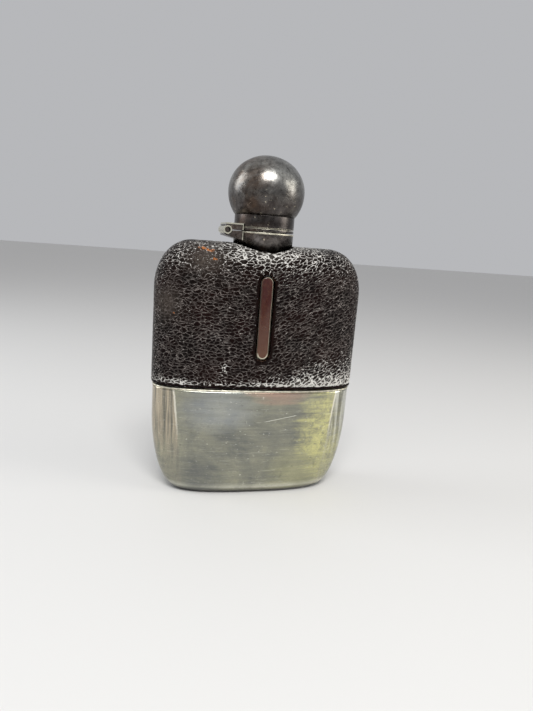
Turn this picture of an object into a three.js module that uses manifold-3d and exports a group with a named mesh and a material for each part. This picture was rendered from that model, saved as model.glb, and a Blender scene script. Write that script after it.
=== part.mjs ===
// An antique hip flask: a flat glass bottle in a leather cover, with a pull-off drinking cup below
// and a hinged ball cap above that locks by a quarter turn. Millimetres, +Z up. The origin is the
// middle of the cup's base, the broad faces look along -Y and +Y, and the cap's hinge is on -X.
import * as THREE from "three";
import { mergeVertices } from "three/addons/utils/BufferGeometryUtils.js";
import Module from "manifold-3d";

const wasm = await Module();
wasm.setup();

// Driving dimensions.
const HALF_WIDTH = 45;          // leather cover, across X
const HALF_DEPTH = 15.2;        // leather cover, across Y
const SECTION_POWER = 2.8;      // superellipse power of the plan section
const SHOULDER_TOP = 108.5;     // top of the leather cover
const BASE_CORNER = { across: 12.7, up: 35.2 };
const BASE_EDGE = 5;            // rounding of the base towards Y
const SHOULDER_CORNER = { across: 15.5, up: 19.6 };
const SHOULDER_DOME = 7;        // height of the shoulder's rounding towards Y
const SHOULDER_POWER = 2.3;
const RIDGE = 0.06;             // flat left along the top of a shoulder
const LEATHER = 1.4;            // thickness of the cover
const LEATHER_EDGE = 47.9;      // lower edge of the cover
const SEAM = 0.15;              // half the gap between the cover's two halves
const GLASS_WALL = 2.4;
const GLASS_FLOOR = 3.5;
const STRIP = { recess: 0.35, depth: 3.65 };    // raised strip of glass in the window
const CUP_INSET = 0.75;         // the cup's outside lies this far inside the leather's
const CUP_WALL = 0.55;
const CUP_TOP = 46.7;
const RIM_HEIGHT = 0.85;
const GAP = 0.3;                // clearance between pieces that are cut to each other
const SLOT = { width: 5.5, low: 60.9, high: 96 };
const NECK_RADIUS = 7.9;
const BORE_RADIUS = 5.5;
const LIP_TOP = 118;            // top of the glass
const LIP_EDGE = 0.5;           // chamfer of the lip
// How the neck grows out of the shoulder: [beyond the neck's radius, above the shoulder].
const NECK_FLARE = [[2.2, -4], [1.6, -1], [0.4, 0.8], [0, 1.6]];
const SLEEVE = { inner: 9, outer: 9.6, low: 109, high: 117.8 };
const COLLAR_RADIUS = 12.65;
const COLLAR_TOP = 113.3;
const COLLAR_WALL = 0.7;
const BEAD = 0.15;              // how far a bead stands out
const LUG = { radius: 10.9, halfAngle: 25, low: 116.6, high: 117.6 };
const NOTCH = { radius: 11.25, halfAngle: 36 };
const RING = { inner: 11.5, low: 113.6, high: 114.7, recess: 12.15 };
const SKIRT = { inner: 12, low: 115, high: 120.2 };
const BAYONET = { inner: 10.2, tube: 11.2, outer: 11.75, low: 115, high: 116.2, lip: 11.9 };
const BALL = { radius: 16.05, centre: 129.8, wall: 0.65, flatten: 0.916 };
const CORK = { radius: 7.4, low: 118.2, high: 119.1 };
const CORK_CUP = { inner: 7.6, outer: 8, low: 118.5, floor: 119.2, high: 119.5 };
const INNER_PLATE = { radius: 11.7, low: 119.6 };
const HINGE = { x: -16.6, z: 113.4, radius: 1.7, hole: 1.15, pin: 0.85, halfWidth: 8, middle: 3.9 };
const LEAF = { left: -17.4, right: -9.6, top: 116.2, outerLow: 111.2, innerLow: 109.4 };
const LEAF_GAP = 0.2;           // half the gap between the leaves
const AROUND = 32;              // facets round a turned piece
const AROUND_BODY = 40;         // facets round the bottle

// Surfaces.
const LOOKS = {
  leather: new THREE.MeshStandardMaterial({ color: 0x1c1210, roughness: 0.45, metalness: 0 }),
  plate: new THREE.MeshStandardMaterial({ color: 0x9a9384, roughness: 0.35, metalness: 1 }),
  tarnish: new THREE.MeshStandardMaterial({ color: 0x4a4542, roughness: 0.4, metalness: 1 }),
  glass: new THREE.MeshStandardMaterial({ color: 0xb9c4b8, roughness: 0.06, metalness: 0 }),
  cement: new THREE.MeshStandardMaterial({ color: 0xd8d0c0, roughness: 0.9, metalness: 0 }),
  cork: new THREE.MeshStandardMaterial({ color: 0xa9805a, roughness: 0.9, metalness: 0 }),
  brass: new THREE.MeshStandardMaterial({ color: 0x8d7a4e, roughness: 0.4, metalness: 1 }),
};

const flask = new THREE.Group();

function add(name, geometry, look) {
  const mesh = new THREE.Mesh(geometry, LOOKS[look]);
  mesh.name = name;
  flask.add(mesh);
}

// A closed geometry as a solid for joining and cutting, with its faces turned outward.
function solid(geometry) {
  const bare = geometry.clone();
  bare.deleteAttribute("normal");
  bare.deleteAttribute("uv");
  const merged = mergeVertices(bare, 1e-4);
  const points = merged.attributes.position.array;
  const corners = [];
  const index = merged.index.array;
  for (let i = 0; i < index.length; i += 3) {
    const [a, b, c] = [index[i], index[i + 1], index[i + 2]];
    if (a !== b && b !== c && c !== a) corners.push(a, b, c);
  }
  if (signedVolume(points, corners) < 0) corners.reverse();
  return new wasm.Manifold(new wasm.Mesh({
    numProp: 3,
    vertProperties: new Float32Array(points),
    triVerts: new Uint32Array(corners),
  }));
}

function signedVolume(points, corners) {
  const [a, b, c] = [new THREE.Vector3(), new THREE.Vector3(), new THREE.Vector3()];
  let volume = 0;
  for (let i = 0; i < corners.length; i += 3) {
    a.fromArray(points, corners[i] * 3);
    b.fromArray(points, corners[i + 1] * 3);
    c.fromArray(points, corners[i + 2] * 3);
    volume += a.dot(b.cross(c)) / 6;
  }
  return volume;
}

// A solid as a geometry again.
function geometryOf(body) {
  const mesh = body.getMesh();
  const geometry = new THREE.BufferGeometry();
  geometry.setAttribute("position", new THREE.BufferAttribute(mesh.vertProperties, 3));
  geometry.setIndex(new THREE.BufferAttribute(mesh.triVerts, 1));
  return geometry;
}

// A piece turned about Z from [radius, height] points; the first point is repeated unless both
// ends lie on the axis.
function turned(profile, segments = AROUND) {
  const points = profile.map(([radius, height]) => new THREE.Vector2(radius, height));
  const onAxis = profile[0][0] === 0 && profile.at(-1)[0] === 0;
  if (!onAxis) points.push(points[0].clone());
  return new THREE.LatheGeometry(points, segments).rotateX(Math.PI / 2);
}

// A turned ring with a rectangular section.
function ring(inner, outer, low, high) {
  return turned([[inner, low], [outer, low], [outer, high], [inner, high]]);
}

function disc(radius, low, high, segments = AROUND) {
  return turned([[0, low], [radius, low], [radius, high], [0, high]], segments);
}

// A rod along Y between two stations.
function rodAlongY(x, z, radius, from, to, segments = 20) {
  return new THREE.CylinderGeometry(radius, radius, to - from, segments).translate(x, (from + to) / 2, z);
}

// An outline of [x, z] points, extruded along Y between two stations.
function plateAlongY(outline, from, to) {
  const shape = new THREE.Shape(outline.map(([x, z]) => new THREE.Vector2(x, z)));
  const options = { depth: to - from, bevelEnabled: false, steps: 1 };
  return new THREE.ExtrudeGeometry(shape, options).rotateX(Math.PI / 2).translate(0, to, 0);
}

// A box between two corners.
function block(low, high) {
  const size = low.map((value, i) => high[i] - value);
  const middle = low.map((value, i) => (high[i] + value) / 2);
  return new THREE.BoxGeometry(...size).translate(...middle);
}

// The flask's outer form, drawn in by inset, between two heights. It is a turned body whose
// round sections are reshaped to superellipses that follow the front and the side outlines.
function flaskForm(inset, low, high) {
  const drop = SHOULDER_TOP - high;
  const foot = { across: BASE_CORNER.across - inset, up: BASE_CORNER.up - low };
  const edge = { across: Math.max(BASE_EDGE - inset, 0.3), up: Math.max(BASE_EDGE - low, 0.3) };
  const corner = { across: SHOULDER_CORNER.across - inset, up: SHOULDER_CORNER.up - drop };
  const dome = SHOULDER_DOME - drop;
  const wide = HALF_WIDTH - inset;
  const deep = HALF_DEPTH - inset;

  function arc(reach, rise, at) {
    const part = Math.min(Math.max(at / rise, 0), 1);
    return reach * (1 - Math.sqrt(1 - (1 - part) ** 2));
  }
  function widthAt(z) {
    return wide - arc(foot.across, foot.up, z - low) - arc(corner.across, corner.up, high - z);
  }
  function depthAt(z) {
    const rise = Math.max((z - high + dome) / dome, 0);
    return deep * (1 - rise ** SHOULDER_POWER) ** (1 / SHOULDER_POWER) - arc(edge.across, edge.up, z - low);
  }

  const heights = new Set([low, low + foot.up, high - corner.up, high - dome, high - RIDGE]);
  for (const turn of [30, 60]) heights.add(low + edge.up * (1 - Math.cos(turn * Math.PI / 180)));
  for (const turn of [36, 54, 72]) heights.add(low + foot.up * (1 - Math.cos(turn * Math.PI / 180)));
  for (const turn of [52, 70]) heights.add(high - corner.up * (1 - Math.cos(turn * Math.PI / 180)));
  for (const part of [0.02, 0.07, 0.17, 0.35, 0.6]) heights.add(high - dome * part - RIDGE);
  const levels = [...heights].sort((a, b) => a - b);

  const profile = [[0, low], ...levels.map((z) => [widthAt(z), z]), [0, high - RIDGE]];
  const geometry = turned(profile, AROUND_BODY);
  const place = geometry.attributes.position;
  const power = 2 / SECTION_POWER;
  for (let i = 0; i < place.count; i += 1) {
    const [x, y, z] = [place.getX(i), place.getY(i), place.getZ(i)];
    const radius = Math.hypot(x, y);
    if (radius < 1e-6) continue;
    const level = Math.min(Math.max(z, low), high - RIDGE);
    const slim = depthAt(level) / widthAt(level);
    place.setX(i, radius * Math.sign(x) * Math.abs(x / radius) ** power);
    place.setY(i, radius * slim * Math.sign(y) * Math.abs(y / radius) ** power);
  }
  return geometry;
}

// A slot with round ends, through the front face.
function slotForm(width, low, high, from, to) {
  const half = width / 2;
  const shape = new THREE.Shape();
  shape.absarc(0, high - half, half, 0, Math.PI);
  shape.absarc(0, low + half, half, Math.PI, 2 * Math.PI);
  const options = { depth: to - from, bevelEnabled: false, steps: 1, curveSegments: 8 };
  return new THREE.ExtrudeGeometry(shape, options).rotateX(Math.PI / 2).translate(0, to, 0);
}

// A sector round the +Y or -Y direction, for the bayonet's lugs and notches.
function sectorForm(radius, halfAngle, side, low, high) {
  const half = halfAngle * Math.PI / 180;
  const middle = side * Math.PI / 2;
  const shape = new THREE.Shape();
  shape.moveTo(0, 0);
  shape.absarc(0, 0, radius, middle - half, middle + half);
  shape.closePath();
  const options = { depth: high - low, bevelEnabled: false, steps: 1, curveSegments: 8 };
  return new THREE.ExtrudeGeometry(shape, options).translate(0, 0, low);
}

// --- Glass bottle -------------------------------------------------------------------------------
const glassInset = LEATHER + GAP;
const glassLow = 1;
const glassHigh = SHOULDER_TOP - glassInset;

function makeGlass() {
  const wall = glassInset + GLASS_WALL;
  const flare = NECK_FLARE.map(([out, up]) => [NECK_RADIUS + out, glassHigh + up]);
  const lip = [[NECK_RADIUS, LIP_TOP - LIP_EDGE], [NECK_RADIUS - LIP_EDGE, LIP_TOP], [0, LIP_TOP]];
  const neck = turned([[0, flare[0][1]], ...flare, ...lip]);
  const stripFront = -HALF_DEPTH + STRIP.recess;
  const stripBack = stripFront + STRIP.depth;
  const strip = slotForm(SLOT.width - 2 * GAP, SLOT.low + GAP, SLOT.high - GAP, stripFront, stripBack);
  const bore = disc(BORE_RADIUS, glassHigh - 9, LIP_TOP + 1);
  return solid(flaskForm(glassInset, glassLow, glassHigh))
    .add(solid(neck))
    .add(solid(strip))
    .subtract(solid(flaskForm(wall, glassLow + GLASS_FLOOR, SHOULDER_TOP - wall - 0.4)))
    .subtract(solid(bore));
}
add("glass_bottle", geometryOf(makeGlass()), "glass");

// --- Leather cover, in two halves that meet along the sides --------------------------------------
function makeCover(side) {
  const reach = HALF_WIDTH + 5;
  const outside = solid(flaskForm(0, 0, SHOULDER_TOP));
  const inside = solid(flaskForm(LEATHER, 0.5, SHOULDER_TOP - LEATHER));
  const near = side < 0 ? -reach : SEAM;
  const far = side < 0 ? -SEAM : reach;
  const half = solid(block([-reach, near, LEATHER_EDGE], [reach, far, SHOULDER_TOP + 5]));
  return outside
    .subtract(inside)
    .intersect(half)
    .subtract(solid(disc(COLLAR_RADIUS + GAP, SHOULDER_TOP - 15, SHOULDER_TOP + 5)));
}
const slot = solid(slotForm(SLOT.width, SLOT.low, SLOT.high, -HALF_DEPTH - 2, -HALF_DEPTH + 5));
add("leather_front", geometryOf(makeCover(-1).subtract(slot)), "leather");
add("leather_back", geometryOf(makeCover(1)), "leather");

// --- Drinking cup ----------------------------------------------------------------------------------
// A slice of the flask's form between an outer and an inner inset.
function cupSlice(outer, inner, floor, low, high) {
  const reach = HALF_WIDTH + 5;
  const slice = solid(block([-reach, -reach, low], [reach, reach, high]));
  return solid(flaskForm(outer, 0, SHOULDER_TOP))
    .subtract(solid(flaskForm(inner, floor, SHOULDER_TOP - 2)))
    .intersect(slice);
}
const cupInner = CUP_INSET + CUP_WALL;
add("cup_shell", geometryOf(cupSlice(CUP_INSET, cupInner, CUP_WALL, -1, CUP_TOP)), "plate");
const rimLow = CUP_TOP + 0.05;
add("cup_rim", geometryOf(cupSlice(CUP_INSET - 0.25, cupInner, 0, rimLow, CUP_TOP + RIM_HEIGHT)), "plate");

// --- Neck: cement, sleeve with its lugs, and collar ------------------------------------------------
const cementLow = SLEEVE.low + 0.2;
add("neck_cement", ring(NECK_RADIUS + 0.25, SLEEVE.inner - 0.25, cementLow, SLEEVE.high - 0.5), "cement");
add("neck_sleeve", ring(SLEEVE.inner, SLEEVE.outer, SLEEVE.low, SLEEVE.high), "tarnish");

function makeLug(side) {
  const around = solid(disc(SLEEVE.outer + 0.05, LUG.low - 1, LUG.high + 1));
  return solid(sectorForm(LUG.radius, LUG.halfAngle, side, LUG.low, LUG.high)).subtract(around);
}
add("bayonet_lug_front", geometryOf(makeLug(-1)), "tarnish");
add("bayonet_lug_back", geometryOf(makeLug(1)), "tarnish");

function makeCollar() {
  const foot = glassHigh - 7;
  const inner = COLLAR_RADIUS - COLLAR_WALL;
  const under = COLLAR_TOP - COLLAR_WALL;
  const profile = [
    [inner, foot], [COLLAR_RADIUS, foot], [COLLAR_RADIUS, COLLAR_TOP - 0.6],
    [COLLAR_RADIUS + BEAD, COLLAR_TOP - 0.4], [COLLAR_RADIUS + BEAD, COLLAR_TOP - 0.15],
    [COLLAR_RADIUS - 0.05, COLLAR_TOP], [SLEEVE.outer + GAP, COLLAR_TOP],
    [SLEEVE.outer + GAP, under], [inner, under],
  ];
  const clear = flaskForm(glassInset - GAP, glassLow, glassHigh + GAP);
  return solid(turned(profile)).subtract(solid(clear));
}
add("neck_collar", geometryOf(makeCollar()), "tarnish");

// --- Hinge -------------------------------------------------------------------------------------------
function knuckle(from, to, extra = 0) {
  return solid(rodAlongY(HINGE.x, HINGE.z, HINGE.radius + extra, from, to));
}
const aroundCollar = solid(disc(COLLAR_RADIUS + GAP, COLLAR_TOP - 10, COLLAR_TOP + 10, 2 * AROUND));
const pinHole = solid(rodAlongY(HINGE.x, HINGE.z, HINGE.hole, -HINGE.halfWidth - 1, HINGE.halfWidth + 1));
const knuckleGap = 0.2;
const knuckleClear = 0.25;

function makeLowerLeaf() {
  const top = HINGE.z - LEAF_GAP;
  const foot = [[LEAF.left, LEAF.outerLow], [LEAF.right, LEAF.innerLow]];
  const outline = [...foot, [LEAF.right, top], [LEAF.left, top]];
  const ends = [-1, 1].map((side) => {
    const stations = [side * HINGE.middle, side * (HINGE.halfWidth + 1)].sort((a, b) => a - b);
    return knuckle(...stations, knuckleClear);
  });
  return solid(plateAlongY(outline, -HINGE.halfWidth, HINGE.halfWidth))
    .subtract(ends[0])
    .subtract(ends[1])
    .add(knuckle(-HINGE.middle, HINGE.middle))
    .subtract(aroundCollar)
    .subtract(pinHole);
}
add("hinge_lower_leaf", geometryOf(makeLowerLeaf()), "tarnish");

function makeUpperLeaf() {
  const low = HINGE.z + LEAF_GAP;
  const outline = [[LEAF.left, low], [LEAF.right, low], [LEAF.right, LEAF.top], [LEAF.left, LEAF.top]];
  const inner = HINGE.middle + knuckleGap;
  return solid(plateAlongY(outline, -HINGE.halfWidth, HINGE.halfWidth))
    .subtract(knuckle(-inner, inner, knuckleClear))
    .add(knuckle(-HINGE.halfWidth, -inner))
    .add(knuckle(inner, HINGE.halfWidth))
    .subtract(aroundCollar)
    .subtract(pinHole);
}
add("hinge_upper_leaf", geometryOf(makeUpperLeaf()), "tarnish");
const pinReach = HINGE.halfWidth - 0.4;
add("hinge_pin", rodAlongY(HINGE.x, HINGE.z, HINGE.pin, -pinReach, pinReach, 16), "brass");

add("hinge_ring", turned([
  [RING.inner, RING.low + 0.55], [RING.recess, RING.low + 0.55], [RING.recess, RING.low],
  [COLLAR_RADIUS, RING.low], [COLLAR_RADIUS, RING.high], [RING.inner, RING.high],
]), "tarnish");

// --- Cap: it turns in the hinge ring, which its bayonet ring is spun over to hold ------------------
function makeBayonet() {
  const foot = RING.low + 0.05;
  const profile = [
    [BAYONET.inner, foot], [BAYONET.lip, foot], [BAYONET.lip, foot + 0.25], [BAYONET.tube, foot + 0.25],
    [BAYONET.tube, BAYONET.low], [BAYONET.outer, BAYONET.low], [BAYONET.outer, BAYONET.high],
    [BAYONET.inner, BAYONET.high],
  ];
  const [low, high] = [foot - 1, BAYONET.high + 1];
  return solid(turned(profile))
    .subtract(solid(sectorForm(NOTCH.radius, NOTCH.halfAngle, -1, low, high)))
    .subtract(solid(sectorForm(NOTCH.radius, NOTCH.halfAngle, 1, low, high)));
}
add("bayonet_ring", geometryOf(makeBayonet()), "tarnish");

add("cap_skirt", turned([
  [SKIRT.inner, SKIRT.low], [COLLAR_RADIUS, SKIRT.low], [COLLAR_RADIUS, SKIRT.high - 0.25],
  [COLLAR_RADIUS - 0.15, SKIRT.high], [SKIRT.inner, SKIRT.high],
]), "tarnish");

function ballProfile() {
  const low = SKIRT.high + GAP;
  const inner = BALL.radius - BALL.wall;
  const steps = 8;
  function sweep(radius) {
    const start = Math.acos((low - BALL.centre) / radius);
    return Array.from({ length: steps + 1 }, (_, i) => {
      const turn = start * (1 - i / steps);
      const rise = radius * Math.cos(turn) * (turn < Math.PI / 2 ? BALL.flatten : 1);
      return [i === steps ? 0 : radius * Math.sin(turn), BALL.centre + rise];
    });
  }
  return [...sweep(BALL.radius), ...sweep(inner).reverse()];
}
add("cap_ball", geometryOf(solid(turned(ballProfile()))), "tarnish");

add("cap_inner_plate", disc(INNER_PLATE.radius, INNER_PLATE.low, SKIRT.high), "plate");
add("cork_cup", turned([
  [0, CORK_CUP.floor], [CORK_CUP.inner, CORK_CUP.floor], [CORK_CUP.inner, CORK_CUP.low],
  [CORK_CUP.outer, CORK_CUP.low], [CORK_CUP.outer, CORK_CUP.high], [0, CORK_CUP.high],
]), "plate");
add("cork_pad", disc(CORK.radius, CORK.low, CORK.high), "cork");

export default flask;
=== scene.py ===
"""A leather-covered glass hip flask with a pull-off drinking cup and a hinged ball cap.

Everything is in metres. The flask stands on z = 0, its window looks along -Y and its hinge is on -X.
"""
import math

import bmesh
import bpy
from mathutils import Matrix, Vector, noise


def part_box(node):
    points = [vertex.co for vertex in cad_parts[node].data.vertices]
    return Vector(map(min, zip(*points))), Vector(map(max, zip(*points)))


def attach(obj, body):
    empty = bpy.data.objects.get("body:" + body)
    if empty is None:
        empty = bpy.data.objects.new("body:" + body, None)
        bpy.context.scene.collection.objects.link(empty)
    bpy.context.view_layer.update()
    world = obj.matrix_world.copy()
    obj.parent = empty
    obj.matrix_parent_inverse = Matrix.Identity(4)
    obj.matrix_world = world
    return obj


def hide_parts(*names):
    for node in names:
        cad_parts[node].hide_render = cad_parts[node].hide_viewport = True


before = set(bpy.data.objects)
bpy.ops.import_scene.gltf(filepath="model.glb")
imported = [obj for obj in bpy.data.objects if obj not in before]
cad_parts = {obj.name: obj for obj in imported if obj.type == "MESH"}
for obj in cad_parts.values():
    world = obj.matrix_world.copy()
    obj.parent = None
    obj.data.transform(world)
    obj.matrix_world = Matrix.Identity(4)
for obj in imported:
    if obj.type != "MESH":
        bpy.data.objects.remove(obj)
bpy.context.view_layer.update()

bl_info = {
    "name": "Leather Hip Flask",
    "version": (1, 0, 0),
    "blender": (4, 5, 0),
    "location": "3D Viewport > Sidebar > Hip Flask",
    "description": "Builds a leather-covered hip flask with a drinking cup and a hinged ball cap",
    "category": "Add Mesh",
}

MM = 0.001


def box_mm(node):
    """A CAD node's lowest and highest corners, in millimetres."""
    low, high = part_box(node)
    return low / MM, high / MM


COVER_LOW, COVER_HIGH = box_mm("leather_front")
RIM_LOW, RIM_HIGH = box_mm("cup_rim")
RING_LOW, RING_HIGH = box_mm("hinge_ring")
SKIRT_LOW, SKIRT_HIGH = box_mm("cap_skirt")
PIN_LOW, PIN_HIGH = box_mm("hinge_pin")
SLEEVE_LOW, SLEEVE_HIGH = box_mm("neck_sleeve")
CUP_TOP = box_mm("cup_shell")[1].z
GLASS_TOP = box_mm("glass_bottle")[1].z
COLLAR_TOP = box_mm("neck_collar")[1].z
LEAF_TOP = box_mm("hinge_upper_leaf")[1].z
BALL_HIGH = box_mm("cap_ball")[1]

# The flask's form, in millimetres. The corners are (reach, rise) of elliptical arcs.
HALF_WIDTH = COVER_HIGH.x
HALF_DEPTH = -COVER_LOW.y
SHOULDER_TOP = 108.5
SEAM = 0.004                    # each half of the cover stops this far from the middle plane
SECTION_POWER = 2.8
SHOULDER_POWER = 2.3
SHOULDER_DOME = 7.0
BASE_CORNER = (12.7, 35.2)
SHOULDER_CORNER = (15.5, 19.6)
BASE_EDGE = 5.0
COLLAR_RADIUS = 12.65
COLLAR_WALL = 0.7
MOUTH_GAP = 0.3                 # between the collar and the cover's mouth
SLEEVE = (9.0, 9.6)             # inner and outer radius
NECK_RADIUS = 7.9
BORE_RADIUS = 5.5
GLASS_INSET = 1.7               # from the flask's form to the glass
GLASS_WALL = 2.4
STRIP_GAP = 0.3                 # between the raised glass strip and the window's edge
CUP_INSET = 0.75
BALL_FLATTEN = 0.916            # height of the ball's upper half over its radius
BALL_WALL = 0.65
SKIRT_BORE = 12.0
PLATE_RADIUS = 11.7
CORK_CUP = (7.6, 8.0)           # inner and outer radius
CORK_RADIUS = 7.4
KNUCKLE_RADIUS = 1.7
KNUCKLE_GAP = 0.25              # cleared round the other leaf's knuckles
PIN_RADIUS = 0.85
PIN_BORE = 1.15
LEAF_LEFT, LEAF_RIGHT = -17.4, -9.6
LEAF_GAP = 0.3                  # between the leaves and the cap's and the collar's sides
LEAF_HALF = 8.0                 # half the hinge's length
MIDDLE_KNUCKLE = 4.0            # half the middle knuckle's length
LEAF_FOOT = (111.2, 109.4)      # the lower leaf's foot at its left and right end
SECTION_STEPS = 360             # points round the plan section
HINGE_X = (PIN_LOW.x + PIN_HIGH.x) / 2
HINGE_Z = (PIN_LOW.z + PIN_HIGH.z) / 2


class HipFlaskSizes(bpy.types.PropertyGroup):
    """The sizes of the flask's fine detail. The main sizes come from the frame."""

    leather: bpy.props.FloatProperty(
        name="Leather", description="Thickness of the cover", default=1.4 * MM, unit="LENGTH")
    mesh_step: bpy.props.FloatProperty(
        name="Hide mesh step", description="Spacing of the cover's vertices",
        default=0.45 * MM, unit="LENGTH")
    grain_cell: bpy.props.FloatProperty(
        name="Grain cell", description="Width of one cell of the grain", default=1.65 * MM, unit="LENGTH")
    grain_depth: bpy.props.FloatProperty(
        name="Grain depth", description="Depth of the cover's pebbling", default=0.1 * MM, unit="LENGTH")
    turned_edge: bpy.props.FloatProperty(
        name="Turned edge", description="Radius of the cover's edges", default=0.75 * MM, unit="LENGTH")
    slot_width: bpy.props.FloatProperty(
        name="Window width", description="Width of the window in the cover", default=5.5 * MM, unit="LENGTH")
    slot_low: bpy.props.FloatProperty(
        name="Window foot", description="Height of the window's lower end", default=60.9 * MM, unit="LENGTH")
    slot_high: bpy.props.FloatProperty(
        name="Window head", description="Height of the window's upper end", default=96.0 * MM, unit="LENGTH")
    slot_border: bpy.props.FloatProperty(
        name="Window border", description="Width of the smooth band round the window",
        default=1.5 * MM, unit="LENGTH")
    cup_wall: bpy.props.FloatProperty(
        name="Cup wall", description="Thickness of the drinking cup", default=0.55 * MM, unit="LENGTH")


class HipFlaskColours(bpy.types.PropertyGroup):
    """The flask's colours."""

    hide: bpy.props.FloatVectorProperty(
        name="Hide", description="Dark cells of the leather", subtype="COLOR", size=3,
        default=(0.0035, 0.0016, 0.0013))
    # Colour of the grain's paler ridge lines, which also paint a highlight on each cell's upper flank.
    ridge_and_highlight: bpy.props.FloatVectorProperty(
        name="Ridge", description="Polished ridges of the grain", subtype="COLOR", size=3,
        default=(0.56, 0.49, 0.45))
    # Also the colour of the painted glints on the shoulders.
    wear: bpy.props.FloatVectorProperty(
        name="Wear", description="Ridges where the finish is rubbed away", subtype="COLOR", size=3,
        default=(0.84, 0.82, 0.77))
    bare: bpy.props.FloatVectorProperty(
        name="Bare leather", description="Chips where the tan leather shows", subtype="COLOR", size=3,
        default=(0.42, 0.15, 0.045))
    silver: bpy.props.FloatVectorProperty(
        name="Silver", description="Bright plate of the cup", subtype="COLOR", size=3,
        default=(0.30, 0.3, 0.265))
    tarnish: bpy.props.FloatVectorProperty(
        name="Tarnish", description="Tarnished plate of the cap and neck", subtype="COLOR", size=3,
        default=(0.058, 0.053, 0.051))
    worn_edge: bpy.props.FloatVectorProperty(
        name="Worn edge", description="Bright metal on rubbed edges", subtype="COLOR", size=3,
        default=(0.78, 0.74, 0.6))


def sizes():
    return bpy.context.scene.hip_flask_sizes


def colours():
    return bpy.context.scene.hip_flask_colours


# --- Outlines -------------------------------------------------------------------------------------
def corner_arc(reach, rise, at):
    """How far an elliptical corner has drawn the outline in, at a height above the corner's end."""
    part = min(max(at / rise, 0.0), 1.0)
    return reach * (1 - math.sqrt(1 - (1 - part) ** 2))


class FlaskForm:
    """The flask's outer form drawn in by inset, between two heights, in millimetres."""

    def __init__(self, inset, low, high):
        drop = SHOULDER_TOP - high
        self.low = low
        self.high = high
        self.wide = HALF_WIDTH - inset
        self.deep = HALF_DEPTH - inset
        self.foot = (BASE_CORNER[0] - inset, BASE_CORNER[1] - low)
        self.edge = (max(BASE_EDGE - inset, 0.3), max(BASE_EDGE - low, 0.3))
        self.corner = (SHOULDER_CORNER[0] - inset, SHOULDER_CORNER[1] - drop)
        self.dome = SHOULDER_DOME - drop

    def width(self, z):
        return (self.wide - corner_arc(*self.foot, z - self.low)
                - corner_arc(*self.corner, self.high - z))

    def depth(self, z):
        rise = min(max((z - self.high + self.dome) / self.dome, 0.0), 1.0)
        crown = (1 - rise ** SHOULDER_POWER) ** (1 / SHOULDER_POWER)
        return self.deep * crown - corner_arc(*self.edge, z - self.low)

    def face(self, x, z, seam=0.0):
        """The surface's distance from the middle plane at x and z."""
        across = min(abs(x) / self.width(z), 1.0)
        return seam + (self.depth(z) - seam) * (1 - across ** SECTION_POWER) ** (1 / SECTION_POWER)

    def crown(self, x, y, low=40.0):
        """The height of the shoulder above a point of the plan."""
        high = self.high
        for _ in range(40):
            middle = (low + high) / 2
            if self.face(x, middle) > abs(y):
                low = middle
            else:
                high = middle
        return low


def even_steps(points, count):
    """Points spaced evenly along a polyline, its two ends included."""
    lengths = [0.0]
    for a, b in zip(points, points[1:]):
        lengths.append(lengths[-1] + math.dist(a, b))
    steps = []
    at = 0
    for i in range(count + 1):
        goal = lengths[-1] * i / count
        while at < len(points) - 2 and lengths[at + 1] < goal:
            at += 1
        part = (goal - lengths[at]) / max(lengths[at + 1] - lengths[at], 1e-12)
        steps.append(tuple(p + (q - p) * part for p, q in zip(points[at], points[at + 1])))
    return steps


def half_section(count):
    """Unit points (u, v) of half the plan section, from +X to -X, spaced evenly on the real section."""
    dense = []
    for i in range(2001):
        turn = math.pi * i / 2000
        c, s = math.cos(turn), math.sin(turn)
        reach = (abs(c) ** SECTION_POWER + abs(s) ** SECTION_POWER) ** (-1 / SECTION_POWER)
        dense.append((HALF_WIDTH * reach * c, HALF_DEPTH * reach * s))
    return [(x / HALF_WIDTH, y / HALF_DEPTH) for x, y in even_steps(dense, count)]


def side_heights(form, low, high, step):
    """Heights spaced evenly along the side outline, from low to high."""
    dense = [(form.depth(low + (high - low) * i / 4000), low + (high - low) * i / 4000) for i in range(4001)]
    length = sum(math.dist(a, b) for a, b in zip(dense, dense[1:]))
    return [z for _, z in even_steps(dense, max(int(length / step), 8))]


# --- Mesh helpers -------------------------------------------------------------------------------
def piece(name, bm, looks, body, slot, *nodes):
    """Makes an object of a mesh in millimetres, hands it to its body and hides what it stands for."""
    bmesh.ops.scale(bm, vec=(MM, MM, MM), verts=bm.verts[:])
    mesh = bpy.data.meshes.new(name)
    for face in bm.faces:
        face.smooth = True
    bm.to_mesh(mesh)
    bm.free()
    obj = bpy.data.objects.new(name, mesh)
    bpy.context.scene.collection.objects.link(obj)
    for look in looks:
        mesh.materials.append(look)
    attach(obj, body)
    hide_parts(*nodes)
    return obj


def sharpen(obj, degrees):
    """Keeps corners sharper than an angle crisp under smooth shading."""
    obj.data.set_sharp_from_angle(angle=math.radians(degrees))


def soften(points, radius, steps=4, closed=True):
    """Rounds the corners of a profile in the plane."""
    rounded = []
    count = len(points)
    for i, point in enumerate(points):
        if not closed and i in (0, count - 1):
            rounded.append(point)
            continue
        corner = Vector(point)
        before = Vector(points[i - 1]) - corner
        after = Vector(points[(i + 1) % count]) - corner
        cut = min(radius, before.length * 0.45, after.length * 0.45)
        start = corner + before.normalized() * cut
        end = corner + after.normalized() * cut
        for k in range(steps + 1):
            t = k / steps
            bend = start * (1 - t) ** 2 + corner * 2 * t * (1 - t) + end * t ** 2
            rounded.append(tuple(bend))
    return rounded


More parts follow.
